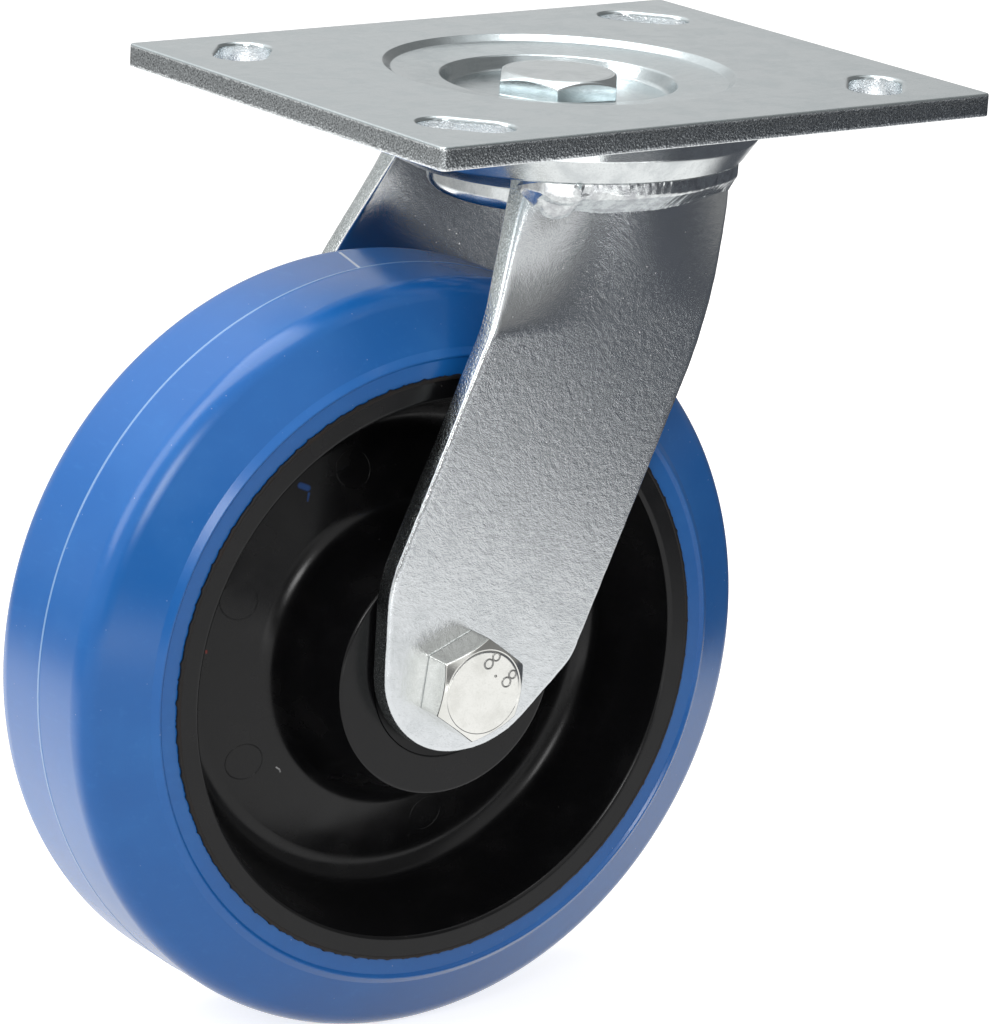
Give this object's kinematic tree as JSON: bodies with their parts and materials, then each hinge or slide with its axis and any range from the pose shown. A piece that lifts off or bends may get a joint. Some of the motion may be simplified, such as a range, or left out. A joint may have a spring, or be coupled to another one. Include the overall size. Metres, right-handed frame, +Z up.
{
  "type": "swivel castor",
  "caption": "Swivel castor with a slotted top plate, a double ball race head, two plate legs and a ball bearing wheel with an elastic rubber tyre.",
  "frame": {"origin": "centre of the top plate's upper face, on the swivel axis", "axes": "+Z up along the swivel axis, out of the plate's upper face; +X along the plate's long side; the wheel trails towards -X at rest"},
  "size_m": [0.1888, 0.11, 0.1979],
  "materials": {
    "zinc_plate": "bright zinc plating, satin",
    "zinc_fork": "bright zinc plating with fine grain",
    "zinc_fastener": "bright zinc plating, smooth",
    "weld_metal": "zinc plated weld, rippled",
    "ball_steel": "ground and hardened steel",
    "tube_steel": "drawn tube, zinc plated",
    "black_nylon": "moulded nylon, soft gloss",
    "blue_rubber": "elastic solid rubber, smooth and matt",
    "black_cap": "moulded plastic",
    "cage_plastic": "natural nylon",
    "insert_plastic": "nylon locking ring"
  },
  "bodies": {
    "plate": {"top_plate": "zinc_plate", "kingpin_bolt": "zinc_fastener", "lower_race": "zinc_plate", "kingpin_nut": "zinc_fastener", "kingpin_nut_insert": "insert_plastic"},
    "fork": {"swivel_head": "zinc_fork", "leg_left": "zinc_fork", "leg_right": "zinc_fork", "weld_left": "weld_metal", "weld_right": "weld_metal", "axle_bolt": "zinc_fastener", "axle_tube": "tube_steel", "axle_washer": "zinc_fastener", "axle_nut": "zinc_fastener", "axle_nut_insert": "insert_plastic", "bearing_spacer_left": "tube_steel", "bearing_spacer_right": "tube_steel", "bearing_inner_left": "ball_steel", "bearing_inner_right": "ball_steel"},
    "wheel": {"wheel_centre": "black_nylon", "tyre": "blue_rubber", "bearing_outer_left": "ball_steel", "bearing_outer_right": "ball_steel", "dust_cap_left": "black_cap", "dust_cap_right": "black_cap"},
    "upper_balls": {"upper_ball_row": "ball_steel"},
    "lower_balls": {"lower_ball_row": "ball_steel"},
    "bearing_cages": {"bearing_balls_left": "ball_steel", "bearing_balls_right": "ball_steel", "bearing_cage_left": "cage_plastic", "bearing_cage_right": "cage_plastic"}
  },
  "joints": [
    {"name": "swivel", "type": "hinge", "parent": "plate", "child": "fork", "pos_m": [0, 0, -0.0102], "axis": [0, 0, 1], "continuous": true},
    {"name": "wheel_roll", "type": "hinge", "parent": "fork", "child": "wheel", "pos_m": [-0.03825, 0.002, -0.1179], "axis": [0.0523, 0.9986, 0], "continuous": true},
    {"name": "upper_row_roll", "type": "hinge", "parent": "plate", "child": "upper_balls", "pos_m": [0, 0, -0.0102], "axis": [0, 0, 1], "continuous": true},
    {"name": "lower_row_roll", "type": "hinge", "parent": "plate", "child": "lower_balls", "pos_m": [0, 0, -0.0208], "axis": [0, 0, 1], "continuous": true},
    {"name": "bearing_cage_roll", "type": "hinge", "parent": "fork", "child": "bearing_cages", "pos_m": [-0.03825, 0.002, -0.1179], "axis": [0.0523, 0.9986, 0], "continuous": true}
  ],
  "couplings": [
    {"joint": "upper_row_roll", "follows": "swivel", "ratio": 0.5},
    {"joint": "lower_row_roll", "follows": "swivel", "ratio": 0.5},
    {"joint": "bearing_cage_roll", "follows": "wheel_roll", "ratio": 0.5915}
  ]
}
